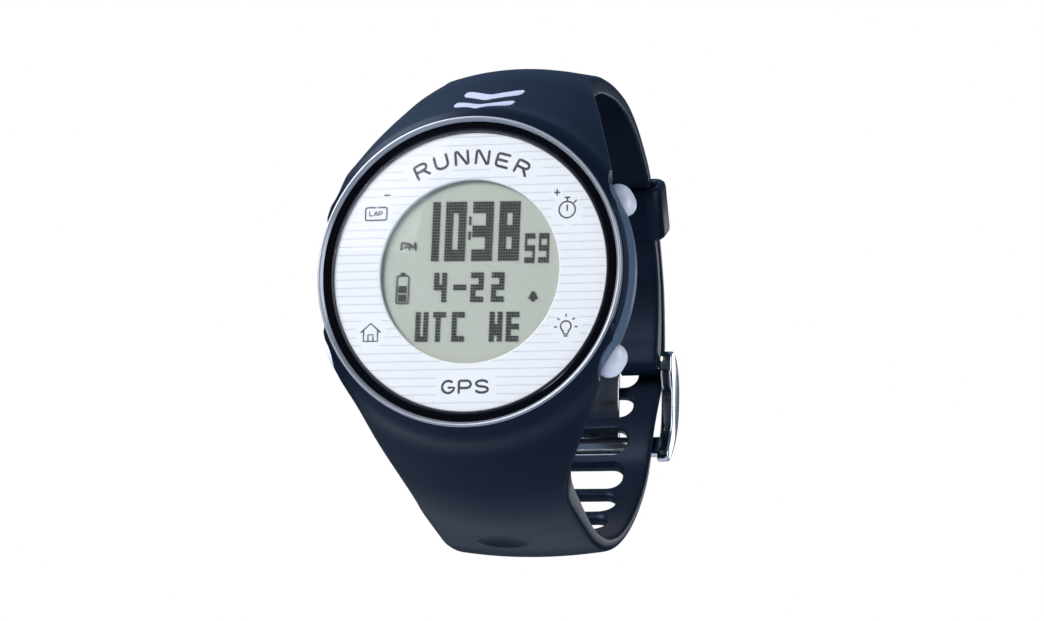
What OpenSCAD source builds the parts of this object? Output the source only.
// Digital running watch on its closed strap.
// The origin is the middle of the strap's wrist opening.
// +Z points to 12 o'clock, the dial faces -Y, and +X is the 3 o'clock side.

/* [Case] */
// Widest radius of the case body
case_r = 22.3; // [21.5:0.1:22.8]
// Radius of the round cavity inside the case
cavity_r = 18.6; // [18.4:0.1:18.8]
// Height of the rear plane of the case along Y
back_y = -25.5; // [-26.5:0.1:-25]
// Outer radius of the silver ring
ring_r = 21.35; // [21.3:0.01:21.4]
// Width of the silver ring
ring_w = 0.6; // [0.4:0.1:0.8]
// Radius of the window in the dial plate
window_r = 12.6; // [12:0.1:13]
// Radius of the glass
lens_r = 19.2; // [19:0.1:19.3]

/* [Buttons] */
// Angle of each button above or below the 3 to 9 o'clock line, in degrees
button_angle = 29.7; // [28:0.1:31]
// Turn of the whole set of buttons from that line, clockwise, in degrees
button_skew = 2.2; // [0:0.1:3]
// Travel of a button
button_travel = 0.6; // [0.3:0.1:0.7]
// Length of a button cap around the case
cap_l = 4.8; // [4.4:0.1:5]
// Width of a button cap along the case depth
cap_w = 3.5; // [3.2:0.1:3.8]

/* [Strap] */
// Half width of the strap behind the wrist
strap_half = 10.9; // [10.6:0.1:11]
// Thickness of the buckle strap behind the wrist
band_t = 2.3; // [2:0.1:2.4]
// Thickness of the slotted tail
tail_t = 1.5; // [1.3:0.1:1.6]
// Length of a slot along the strap
slot_l = 4.4; // [4:0.1:4.6]
// Half width of a slot across the strap
slot_half = 7.1; // [6.8:0.1:7.4]
// Distance from one slot to the next
slot_pitch = 6.5; // [6.4:0.1:6.6]

/* [Buckle] */
// Radius of the buckle pin
pin_r = 0.8; // [0.7:0.05:0.8]
// Thickness of one cheek of the buckle frame
cheek_t = 1.75; // [1.5:0.05:1.9]
// Width of the tongue
tongue_w = 9.6; // [8:0.2:10]
// Width of the keeper along the strap
keeper_w = 8; // [6:0.5:8]
// Wall of the keeper
keeper_t = 1.3; // [1:0.1:1.4]

/* [Hidden] */
$fn = 64;
// Running gap of a pin in its hole, and seating gap between fixed pieces
run = 0.05;
seat = 0.06;

// Depths are measured forward from the rear plane of the case
back_t = 1.25;
flange_z = [1.35, 2.4];
board_z = [4.4, 5.2];
button_z = 6.85;
frame_z = [5.25, 11.5];
light_z = [9.1, 9.7];
lcd_z = [9.8, 11.3];
ledge_z = 11.6;
dial_t = 0.4;
lens_z = [12.05, 12.95];
ring_top = 12.75;

back_r = 16.5;
board_r = 16.95;
screw_circle = 15.1;
lug_half = 7;
lug_y = 22.7;
lug_z = 3.2;
strap_pin_half = 11.7;

BUTTONS = ["timer", "light", "home", "lap"];
button_turn = [for (a = [button_angle, -button_angle, 180 + button_angle, 180 - button_angle]) a - button_skew];
// Distances from the case axis along a button's own axis
cap_r = [21.3, 24.15];
recess_r = cap_r[0] - button_travel - 0.1;
stem_r = 0.8;
stem_end = 17.75;
tube_r = [18.45, 20.6];
clip_r = 18.1;
seal_r = 20.15;
plunger_r = [16.65, 17.7];

// Buckle places in the YZ plane
pin_c = [28.7, -2.6];
bar_c = [27.65, -15.1];
bar_size = [3.3, 1.7];
bar_tilt = 64;
cheek_in = strap_half + 0.4;

// Straight stretch of the outer face of the buckle strap, under the keeper
run_start = [21.9, 25.0];
run_dir = [0.48, -0.8773];
run_out = [0.8773, 0.48];
run_len = 13;
layer_gap = 0.3;
keeper_at = 5;

// Outer faces of the two straps along their middles, [Y, Z]
upper_line = [[-16.5, 31.9], [-12.5, 33], [-8, 34.2], [-2, 34.4], [3.5, 34], [8.3, 33], [13, 31.2],
    [17.5, 28.6], [20.3, 26.6], run_start + run_dir * 0.5, run_start + run_dir * 5,
    run_start + run_dir * 9, run_start + run_dir * run_len, [29.6, 9.6], [30.4, 5.4], [30.6, 1.2], [30.3, -2.4]];
tail_lift = layer_gap + tail_t;
lower_line = [[-17, -32.3], [-13, -33.6], [-8, -34.9], [-2, -34.9], [4, -33.8], [10, -31.6], [15.2, -28.7],
    [19.6, -25.3], [22.9, -21.9], [24.8, -18.8], [26, -15.4], [27.6, -12.1], [29.5, -9.1], [31.3, -6.4],
    [32.7, -3.2], [33.2, 0.6], [32.6, 5.6], [31.7, 9.8], run_start + run_dir * run_len + run_out * tail_lift,
    run_start + run_dir * 9 + run_out * tail_lift, run_start + run_dir * 6 + run_out * tail_lift,
    run_start + run_dir * 3.2 + run_out * tail_lift];
// Distance along the lower strap to the slot that holds the tongue
tongue_slot = 58.5;
slots_before = 5;
slots_after = 4;

// Faces of the wings that wrap the case: [radius, depth]
upper_wing = [[21.42, 12.45], [22.9, 10.9], [24.1, 8], [26.1, 4.1], [28.4, -0.2], [30.6, -4.1],
    [32.6, -8.4], [33.6, -11.4]];
lower_wing = [[21.42, 12.45], [22.9, 11], [24.3, 8], [26.6, 5.4], [29.8, 1.4], [32, -3], [33.4, -7.9],
    [34.2, -12]];
wing_back = [[20.5, 0.3], [24.6, -2.2], [27.7, -5.2], [29.7, -8.4], [30.8, -11.4]];
// Rear edge of the wings in side view: [distance to the case axis along Z, depth]
wing_rear = [[7.4, 4.6], [12, 2.2], [17, 0.2], [22, -2.4], [25, -6], [26, -14]];
// Half widths of the wings: [X, distance to the case axis along Z]
upper_plan = [[21.9, 7.4], [20.1, 12.7], [17.8, 17.5], [15.3, 22.8], [13.1, 27.3], [11.5, 30],
    [strap_half, 31.6], [strap_half, 36]];
lower_plan = [[21.9, 7.4], [20.2, 12.2], [17.2, 17.2], [14.4, 22.4], [12, 26.9], [11, 29.4],
    [strap_half, 31.2], [strap_half, 37]];

// ---- curves -------------------------------------------------------------

// Point at t from 0 to 1 on the smooth curve between points i and i + 1
function curve_at(p, i, t) =
    let (a = p[max(i - 1, 0)], b = p[i], c = p[i + 1], d = p[min(i + 2, len(p) - 1)])
    0.5 * (2 * b + (c - a) * t + (2 * a - 5 * b + 4 * c - d) * t * t + (3 * b - a - 3 * c + d) * t * t * t);

// Smooth curve through the points p, with k steps between two of them
function smooth(p, k) = [for (i = [0 : len(p) - 2]) for (j = [0 : k - 1]) curve_at(p, i, j / k), p[len(p) - 1]];

function unit(v) = v / norm(v);
function mirrored(p) = [for (i = [len(p) - 1 : -1 : 0]) [-p[i].x, p[i].y]];

// [point, direction] at distance s along the line p
function walk(p, s, i = 0) =
    let (d = norm(p[i + 1] - p[i]))
    s <= d || i == len(p) - 2 ? [p[i] + (p[i + 1] - p[i]) * s / d, unit(p[i + 1] - p[i])] : walk(p, s - d, i + 1);

// ---- frames -------------------------------------------------------------

// The case frame: x to 3 o'clock, y to 12 o'clock, z forward from the rear plane
module in_case() translate([0, back_y, 0]) rotate([90, 0, 0]) children();

// A button's frame: z outward along its axis from the case axis
module on_button(i) in_case() translate([0, 0, button_z]) rotate([0, 0, button_turn[i]])
    rotate([0, 90, 0]) children();

// Children drawn in the YZ plane, extruded over w in X about x = 0
module across(w) rotate([90, 0, 90]) translate([0, 0, -w / 2]) linear_extrude(w) children();

// A frame on the strap's run: x across, y outward, z along the strap
module on_run(s) {
    p = run_start + run_dir * s;
    a = atan2(run_out[1], run_out[0]);
    translate([0, p[0], p[1]]) rotate([a, 0, 0]) children();
}

module rounded(w, h, r) {
    square([w - 2 * r, h], center = true);
    square([w, h - 2 * r], center = true);
    for (x = [-1, 1], y = [-1, 1]) translate([x * (w / 2 - r), y * (h / 2 - r)]) circle(r);
}

module stadium(l, w) {
    square([l - w, w], center = true);
    for (x = [-1, 1]) translate([x * (l - w) / 2, 0]) circle(w / 2);
}

// ---- case ---------------------------------------------------------------

module case_profile() polygon([[14, flange_z[0]], [back_r + 0.1, flange_z[0]], [back_r + 0.1, 0.35],
    [19.6, 0.35], [20.4, 1], [case_r, 7.6], [case_r, 8.8], [21.5, ledge_z], [cavity_r, ledge_z],
    [cavity_r, flange_z[1]], [14, flange_z[1]]]);

module lug() translate([0, 0, lug_z]) rotate([0, 90, 0]) {
    cylinder(r = 1.6, h = 2 * lug_half, center = true);
    translate([-1.6, -2.7, -lug_half]) cube([3.2, 2.7, 2 * lug_half]);
}

module case_shell() color("#27324a") in_case() difference() {
    union() {
        rotate_extrude() case_profile();
        for (a = [0, 180]) rotate([0, 0, a]) difference() {
            translate([0, lug_y, 0]) lug();
            translate([0, 0, -1]) cylinder(r = cavity_r + 0.6, h = 16);
        }
    }
    for (y = [-1, 1]) translate([0, y * lug_y, lug_z]) rotate([0, 90, 0])
        cylinder(r = pin_r + run, h = 40, center = true);
    for (a = button_turn) translate([0, 0, button_z]) rotate([0, 0, a]) rotate([0, 90, 0]) {
        cylinder(r = 1.55, h = 30);
        translate([0, 0, recess_r]) linear_extrude(9) rotate([0, 0, 90]) stadium(cap_l + 0.6, cap_w + 0.6);
    }
    for (a = [45 : 90 : 315]) rotate([0, 0, a]) translate([screw_circle, 0, 0]) cylinder(r = 0.62, h = 4);
}

module bezel() color("#0b0c10") in_case() rotate_extrude() polygon([[19.8, ledge_z], [ring_r - ring_w, ledge_z],
    [ring_r - ring_w, ring_top - 0.1], [20.4, ring_top - 0.05], [19.8, ring_top - 0.3]]);

module accent_ring() color("#c8cdd8") in_case() rotate_extrude() polygon([[ring_r - ring_w, ledge_z],
    [ring_r, ledge_z], [ring_r, ring_top - 0.2], [ring_r - 0.15, ring_top], [ring_r - ring_w + 0.12, ring_top],
    [ring_r - ring_w, ring_top - 0.1]]);

module lens() color([0.8, 0.85, 0.9, 0.35]) in_case() rotate_extrude() polygon([[0, lens_z[0]],
    [lens_r, lens_z[0]], [lens_r, lens_z[1] - 0.25], [lens_r - 0.25, lens_z[1]], [0, lens_z[1]]]);

module lens_gasket() color("#9aa0a8") in_case() rotate_extrude() polygon([[lens_r + 0.02, ledge_z],
    [19.78, ledge_z], [19.78, ring_top - 0.35], [lens_r + 0.02, ring_top - 0.2]]);

module dial_plate() color("#eef0f2") in_case() translate([0, 0, ledge_z]) difference() {
    cylinder(r = lens_r - 0.05, h = dial_t);
    translate([0, 0, -1]) cylinder(r = window_r, h = 3);
}

module lcd_outline(side, r) intersection() {
    square(side, center = true);
    circle(r);
}

module lcd_panel() color("#b9beb2") in_case() translate([0, 0, lcd_z[0]])
    linear_extrude(lcd_z[1] - lcd_z[0]) lcd_outline(27.6, 16.4);

module backlight() color("#d7e4ea") in_case() translate([0, 0, light_z[0]])
    linear_extrude(light_z[1] - light_z[0]) lcd_outline(27, 15.5);

zebra_y = 11.6;
zebra_t = 1.4;
zebra_l = 21;
battery_size = [22, 17, 3.2];
antenna_size = [9, 3.4, 3];
antenna_y = -14.4;

module module_frame() color("#e3e3df") in_case() difference() {
    translate([0, 0, frame_z[0]]) cylinder(r = 18.2, h = frame_z[1] - frame_z[0]);
    translate([0, 0, light_z[0] - seat]) linear_extrude(5) lcd_outline(27.8, 16.5);
    translate([0, 0, 6]) cube([battery_size.x + 0.6, battery_size.y + 0.6, 8], center = true);
    for (y = [-1, 1]) translate([0, y * zebra_y, 6])
        cube([zebra_l + 0.3, zebra_t + 0.3, 8], center = true);
    translate([0, antenna_y, 6]) cube([antenna_size.x + 0.4, antenna_size.y + 0.4, 5], center = true);
    for (a = button_turn) rotate([0, 0, a]) translate([16.6, 0, 6]) cube([5.6, 5, 4.4], center = true);
}

module zebra_strips() color("#7c8087") in_case() for (y = [-1, 1])
    translate([-zebra_l / 2, y * zebra_y - zebra_t / 2, board_z[1]])
        cube([zebra_l, zebra_t, light_z[0] - board_z[1] - seat]);

module main_board() color("#1f6b3f") in_case() translate([0, 0, board_z[0]])
    cylinder(r = board_r, h = board_z[1] - board_z[0]);

module gps_antenna() color("#d9cfb4") in_case() translate([-antenna_size.x / 2,
    antenna_y - antenna_size.y / 2, board_z[1]]) cube(antenna_size);

module gps_receiver() color("#c3c6c9") in_case() translate([2.2, 0.4, board_z[0] - 1.9])
    cube([9, 9, 1.9]);

module processor() color("#17181a") in_case() translate([-10.6, 1.4, board_z[0] - 0.9])
    cube([7, 7, 0.9]);

module battery() color("#b7bcc4") in_case() translate([0, 0, board_z[1] + 0.1])
    linear_extrude(battery_size.z) rounded(battery_size.x, battery_size.y, 1.5);

module piezo_buzzer() color("#c9a64b") in_case() translate([0, 4.5, back_t]) {
    cylinder(r = 5.5, h = 0.2);
    translate([0, 0, 0.2]) cylinder(r = 4, h = 0.2);
}

contact_y = -8.5;
contact_x = [-4.5, -1.5, 1.5, 4.5];

module contact_block() color("#15161a") in_case() translate([0, contact_y, 0.1]) difference() {
    linear_extrude(1.9) stadium(13, 3.2);
    for (x = contact_x) translate([x, 0, -1]) cylinder(r = 0.8, h = 5);
}

module contact_pins() color("#d4b15a") in_case() for (x = contact_x) translate([x, contact_y, 0.05]) {
    cylinder(r = 0.78, h = 1.8);
    translate([0, 0, 1.8]) cylinder(r = 0.45, h = board_z[0] - 1.85);
}

module case_back() color("#b9bdc3") in_case() difference() {
    cylinder(r = back_r, h = back_t);
    for (a = [45 : 90 : 315]) rotate([0, 0, a]) translate([screw_circle, 0, -1]) {
        cylinder(r = 0.7, h = 4);
        cylinder(r = 1.15, h = 1.65);
    }
    translate([0, contact_y, -1]) linear_extrude(4) stadium(13.1, 3.3);
    translate([0, 0, back_t]) rotate_extrude() translate([13.2, 0]) square([0.9, 0.9], center = true);
}

module back_gasket() color("#2b2b2e") in_case() translate([0, 0, back_t - 0.12])
    rotate_extrude() translate([13.2, 0]) circle(0.3, $fn = 24);

module back_screws() color("#9fa3a8") in_case() for (a = [45 : 90 : 315]) rotate([0, 0, a])
    translate([screw_circle, 0, 0.12]) difference() {
        union() {
            cylinder(r = 1.1, h = 0.4);
            cylinder(r = 0.6, h = flange_z[1] - 0.2);
        }
        translate([0, 0, -0.01]) cube([0.3, 1.6, 0.5], center = true);
    }

module tact_switches() color("#c8c9cb") for (i = [0 : 3]) on_button(i) difference() {
    translate([-1, -1.9, 14.3]) cube([2, 3.8, 2.5]);
    translate([0, 0, 15.6]) cylinder(r = 0.65, h = 3);
}

module button_tubes() color("#aeb2b7") for (i = [0 : 3]) on_button(i) difference() {
    translate([0, 0, tube_r[0]]) cylinder(r = 1.5, h = tube_r[1] - tube_r[0]);
    cylinder(r = stem_r + run, h = 30);
    translate([0, 0, 19.3]) cylinder(r = 1.2, h = 3);
}

// ---- buttons, in a button's frame --------------------------------------

module button(i) color("#ccccdf") on_button(i) difference() {
    union() {
        translate([0, 0, stem_end]) cylinder(r = stem_r, h = cap_r[0] - stem_end + 0.1);
        intersection() {
            translate([0, 0, cap_r[0]]) linear_extrude(4) rotate([0, 0, 90]) stadium(cap_l, cap_w);
            translate([0.6, 0, 21.15]) sphere(r = 3);
        }
    }
    translate([0, 0, clip_r]) difference() {
        cylinder(r = 2, h = 0.3);
        translate([0, 0, -1]) cylinder(r = 0.55, h = 3);
    }
    // Pocket for the spring
    translate([0, 0, cap_r[0] - 1]) difference() {
        cylinder(r = spring_r + wire_r + 0.1, h = 2);
        cylinder(r = stem_r, h = 2.1);
    }
}

module seal(i) color("#303035") on_button(i) translate([0, 0, seal_r])
    rotate_extrude() translate([stem_r + 0.2, 0]) circle(0.19, $fn = 24);

module clip(i) color("#8f9499") on_button(i) translate([0, 0, clip_r + 0.02]) difference() {
    cylinder(r = 1.3, h = 0.24);
    translate([0, 0, -1]) cylinder(r = 0.6, h = 3);
    translate([0, -0.5, -1]) cube([3, 1, 3]);
}

spring_turns = 3.5;
spring_r = 1.15;
wire_r = 0.14;
spring_z = [20.76, 22.14];

// One closed tube along a helix, 6 sides
module spring(i) color("#a9adb2") on_button(i) {
    steps = 12;
    n = round(spring_turns * steps);
    m = 6;
    pts = [for (k = [0 : n]) let (a = 360 * k / steps, z = spring_z[0] + (spring_z[1] - spring_z[0]) * k / n)
        for (j = [0 : m - 1]) let (b = 360 * j / m, r = spring_r + wire_r * cos(b))
            [r * cos(a), r * sin(a), z + wire_r * sin(b)]];
    polyhedron(pts, tube_faces(n + 1, m));
}

module plunger(i) color("#2a2a2c") on_button(i) translate([0, 0, plunger_r[0]])
    cylinder(r = 0.6, h = plunger_r[1] - plunger_r[0]);

// Faces of a tube of n rings with m points each
function tube_faces(n, m) = concat(
    [for (k = [0 : n - 2]) for (j = [0 : m - 1]) let (a = k * m + j, b = k * m + (j + 1) % m)
        each [[a, a + m, b], [b, a + m, b + m]]],
    [[for (j = [0 : m - 1]) j]],
    [[for (j = [m - 1 : -1 : 0]) (n - 1) * m + j]]);

// ---- straps -------------------------------------------------------------

// Side view of a strap along the smooth line p. side is 1 for outward on the left of travel.
function band_outline(p, side, thicks) =
    let (n = len(p), inner = [for (k = [0 : n - 1])
        let (d = unit(p[min(k + 1, n - 1)] - p[max(k - 1, 0)])) p[k] - side * [-d[1], d[0]] * lookup(k / (n - 1), thicks)])
    concat(p, [for (k = [n - 1 : -1 : 0]) inner[k]]);

// The part of a strap that wraps the case, before its cuts
module wing(face, plan, height) in_case() intersection() {
    rotate_extrude() polygon(concat(smooth(face, 3), [for (k = [len(wing_back) - 1 : -1 : 0]) wing_back[k] +
        [0, face[len(face) - 1].y - wing_back[len(wing_back) - 1].y] * k / (len(wing_back) - 1)],
        [[20.5, 1], [case_r + 0.07, 7.6], [case_r + 0.07, 8.8], [21.58, ledge_z], [21.42, ledge_z]]));
    half = smooth(plan, 3);
    translate([0, 0, -30]) linear_extrude(60) polygon(concat(half, mirrored(half)));
    rotate([0, 90, 0]) translate([0, 0, -30]) linear_extrude(60) polygon(concat(
        [for (q = smooth(wing_rear, 3)) [-q.y, q.x]], [[14, height], [-ledge_z - 2, height], [-ledge_z - 2, plan[0].y]]));
}

// Room for the lug and the pin at the end of a strap
module lug_cut() in_case() translate([0, lug_y, lug_z]) rotate([0, 90, 0]) {
    cylinder(r = pin_r + run, h = 2 * strap_pin_half + 0.3, center = true);
    cylinder(r = 1.75, h = 2 * lug_half + 0.2, center = true);
    translate([-1.75, -5, -lug_half - 0.1]) cube([3.5, 5, 2 * lug_half + 0.2]);
}

// Room for the caps of the buttons in the list
module scoops(list) for (i = list) on_button(i) {
    translate([0, 0, recess_r]) linear_extrude(2) rotate([0, 0, 90]) stadium(cap_l + 1, cap_w + 0.8);
    translate([0, 0, 21.8]) linear_extrude(7) rotate([0, 0, 90]) translate([0, 2])
        rounded(cap_l + 1.4, cap_w + 5, cap_w / 2 + 0.5);
}

upper_path = smooth(upper_line, 2);
lower_path = smooth(lower_line, 2);

module upper_strap() color("#232d47") difference() {
    union() {
        wing(upper_wing, upper_plan, 33.1);
        across(2 * strap_half) polygon(band_outline(upper_path, 1,
            [[0, 2.6], [0.4, band_t], [0.85, band_t], [1, 3]]));
        translate([0, pin_c[0], pin_c[1]]) rotate([0, 90, 0])
            cylinder(r = 1.6, h = 2 * strap_half, center = true);
    }
    lug_cut();
    scoops([0, 3]);
    translate([0, pin_c[0], pin_c[1]]) {
        rotate([0, 90, 0]) cylinder(r = pin_r + run, h = 40, center = true);
        translate([0, 0, -1]) cube([tongue_w + 0.5, 5, 6.2], center = true);
    }
}

module slot_cut(s) {
    at = walk(lower_path, s);
    translate([0, at[0][0], at[0][1]]) rotate([atan2(at[1][1], at[1][0]), 0, 0])
        translate([0, 0, -4]) linear_extrude(8) rounded(2 * slot_half, slot_l, 1.6);
}

module lower_strap() color("#232d47") difference() {
    union() {
        mirror([0, 0, 1]) wing(lower_wing, lower_plan, 33.6);
        across(2 * strap_half) polygon(band_outline(lower_path, -1,
            [[0, 2.6], [0.3, tail_t], [1, tail_t]]));
    }
    mirror([0, 0, 1]) lug_cut();
    scoops([1, 2]);
    for (k = [-slots_before : slots_after]) slot_cut(tongue_slot + k * slot_pitch);
}

module strap_pins() color("#a6abb1") in_case() for (y = [-1, 1]) translate([0, y * lug_y, lug_z])
    rotate([0, 90, 0]) cylinder(r = pin_r, h = 2 * strap_pin_half, center = true);

// ---- buckle and keeper --------------------------------------------------

module buckle_pin() color("#b4b8bd") translate([0, pin_c[0], pin_c[1]]) rotate([0, 90, 0])
    cylinder(r = pin_r, h = 2 * (cheek_in + cheek_t) - 0.2, center = true);

// Side view of a cheek, [Y, Z]
cheek_line = [[27.3, -3.4], [27.4, -1.2], [29, -0.4], [31.2, -1.4], [33, -4], [33.5, -7.5], [33, -11.2],
    [31.3, -14.2], [28.8, -16.6], [26.9, -17.4], [26.4, -16], [27.6, -14.2], [28.6, -11.5], [28.6, -7]];

module buckle_frame() color("#c9ccd1") difference() {
    union() {
        for (x = [-1, 1]) translate([x * (cheek_in + cheek_t / 2), 0, 0]) across(cheek_t)
            polygon(smooth(concat(cheek_line, [cheek_line[0]]), 3));
        across(2 * cheek_in + 0.4) translate(bar_c) rotate(bar_tilt) stadium(bar_size.x, bar_size.y);
    }
    translate([0, pin_c[0], pin_c[1]]) rotate([0, 90, 0])
        cylinder(r = pin_r + run, h = 60, center = true);
}

tongue_line = [[29.2, -2.6], [29.1, -6.6], [29.4, -9.8], [30.1, -14], [30.2, -17.2], [29.5, -17.4],
    [29.15, -14.6], [28.35, -9.8], [28.1, -6.6], [28.2, -2.6]];

module buckle_tongue() color("#b9bdc2") difference() {
    union() {
        across(tongue_w) polygon(tongue_line);
        translate([0, pin_c[0], pin_c[1]]) rotate([0, 90, 0])
            cylinder(r = 1.45, h = tongue_w, center = true);
    }
    translate([0, pin_c[0], pin_c[1]]) rotate([0, 90, 0])
        cylinder(r = pin_r + run, h = 40, center = true);
}

module keeper() color("#232d47") on_run(keeper_at) translate([0, 0, -keeper_w / 2])
    linear_extrude(keeper_w) translate([0, (tail_lift - band_t) / 2]) difference() {
        rounded(2 * (strap_half + 0.3 + keeper_t), band_t + tail_lift + 0.6 + 2 * keeper_t, 1.6);
        rounded(2 * (strap_half + 0.3), band_t + tail_lift + 0.6, 0.4);
    }

case_shell();
bezel();
accent_ring();
lens();
lens_gasket();
dial_plate();
lcd_panel();
backlight();
module_frame();
zebra_strips();
main_board();
gps_antenna();
gps_receiver();
processor();
battery();
piezo_buzzer();
contact_block();
contact_pins();
case_back();
back_gasket();
back_screws();
tact_switches();
button_tubes();
strap_pins();
upper_strap();
lower_strap();
buckle_pin();
buckle_frame();
buckle_tongue();
keeper();
for (i = [0 : 3]) button(i);
for (i = [0 : 3]) seal(i);
for (i = [0 : 3]) clip(i);
for (i = [0 : 3]) spring(i);
for (i = [0 : 3]) plunger(i);
